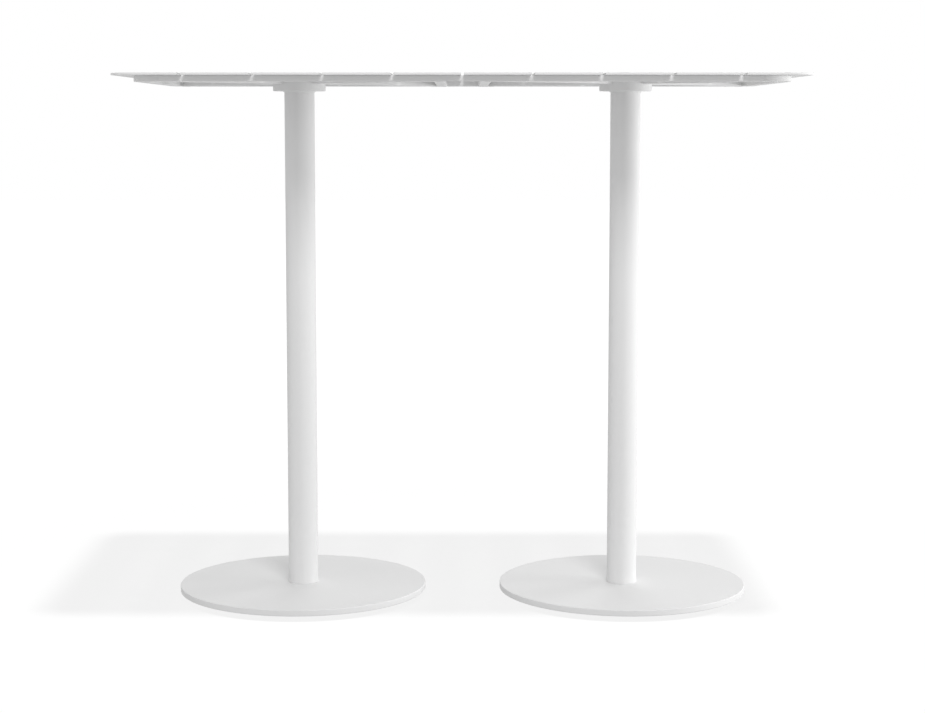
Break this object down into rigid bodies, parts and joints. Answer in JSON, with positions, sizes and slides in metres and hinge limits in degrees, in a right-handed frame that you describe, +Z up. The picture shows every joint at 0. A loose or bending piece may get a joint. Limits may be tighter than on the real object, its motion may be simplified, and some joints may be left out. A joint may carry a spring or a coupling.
{
  "type": "bar table",
  "caption": "Tall white bar table with a thin slatted rectangular top on a braced frame, carried by round columns on flat round base plates.",
  "frame": {"origin": "on the floor, under the middle of the top", "axes": "+Z up, +X along the length of the top, +Y from front to back"},
  "size_m": [1.3, 0.7, 1.05],
  "materials": {
    "top": "matte",
    "frame": "matte",
    "pedestal": "matte",
    "plug_steel": "satin",
    "screw_steel": "satin",
    "glide_plastic": "matte"
  },
  "bodies": {
    "table": {"slat_01": "top", "slat_02": "top", "slat_03": "top", "slat_04": "top", "slat_05": "top", "slat_06": "top", "slat_07": "top", "slat_08": "top", "slat_09": "top", "slat_10": "top", "front_rail": "frame", "back_rail": "frame", "left_end_rail": "frame", "right_end_rail": "frame", "left_cross_rail": "frame", "right_cross_rail": "frame", "back_right_bend": "frame", "back_left_bend": "frame", "front_left_bend": "frame", "front_right_bend": "frame", "left_hub": "frame", "right_hub": "frame", "left_arm_back_inner": "frame", "left_arm_back_outer": "frame", "left_arm_front_inner": "frame", "left_arm_front_outer": "frame", "right_arm_back_inner": "frame", "right_arm_back_outer": "frame", "right_arm_front_inner": "frame", "right_arm_front_outer": "frame", "left_flange": "pedestal", "left_column": "pedestal", "left_base_plate": "pedestal", "right_flange": "pedestal", "right_column": "pedestal", "right_base_plate": "pedestal", "left_column_plug": "plug_steel", "right_column_plug": "plug_steel", "slat_screws": "screw_steel", "left_flange_screws": "screw_steel", "left_base_screws": "screw_steel", "right_flange_screws": "screw_steel", "right_base_screws": "screw_steel"},
    "left_glide_1": {"left_glide_pad_1": "glide_plastic", "left_glide_stem_1": "screw_steel"},
    "left_glide_2": {"left_glide_pad_2": "glide_plastic", "left_glide_stem_2": "screw_steel"},
    "left_glide_3": {"left_glide_pad_3": "glide_plastic", "left_glide_stem_3": "screw_steel"},
    "left_glide_4": {"left_glide_pad_4": "glide_plastic", "left_glide_stem_4": "screw_steel"},
    "right_glide_1": {"right_glide_pad_1": "glide_plastic", "right_glide_stem_1": "screw_steel"},
    "right_glide_2": {"right_glide_pad_2": "glide_plastic", "right_glide_stem_2": "screw_steel"},
    "right_glide_3": {"right_glide_pad_3": "glide_plastic", "right_glide_stem_3": "screw_steel"},
    "right_glide_4": {"right_glide_pad_4": "glide_plastic", "right_glide_stem_4": "screw_steel"}
  },
  "joints": [
    {"name": "left_glide_1_screw", "type": "slide", "parent": "table", "child": "left_glide_1", "axis": [0, 0, -1], "range_m": [0, 0.005]},
    {"name": "left_glide_2_screw", "type": "slide", "parent": "table", "child": "left_glide_2", "axis": [0, 0, -1], "range_m": [0, 0.005]},
    {"name": "left_glide_3_screw", "type": "slide", "parent": "table", "child": "left_glide_3", "axis": [0, 0, -1], "range_m": [0, 0.005]},
    {"name": "left_glide_4_screw", "type": "slide", "parent": "table", "child": "left_glide_4", "axis": [0, 0, -1], "range_m": [0, 0.005]},
    {"name": "right_glide_1_screw", "type": "slide", "parent": "table", "child": "right_glide_1", "axis": [0, 0, -1], "range_m": [0, 0.005]},
    {"name": "right_glide_2_screw", "type": "slide", "parent": "table", "child": "right_glide_2", "axis": [0, 0, -1], "range_m": [0, 0.005]},
    {"name": "right_glide_3_screw", "type": "slide", "parent": "table", "child": "right_glide_3", "axis": [0, 0, -1], "range_m": [0, 0.005]},
    {"name": "right_glide_4_screw", "type": "slide", "parent": "table", "child": "right_glide_4", "axis": [0, 0, -1], "range_m": [0, 0.005]}
  ]
}
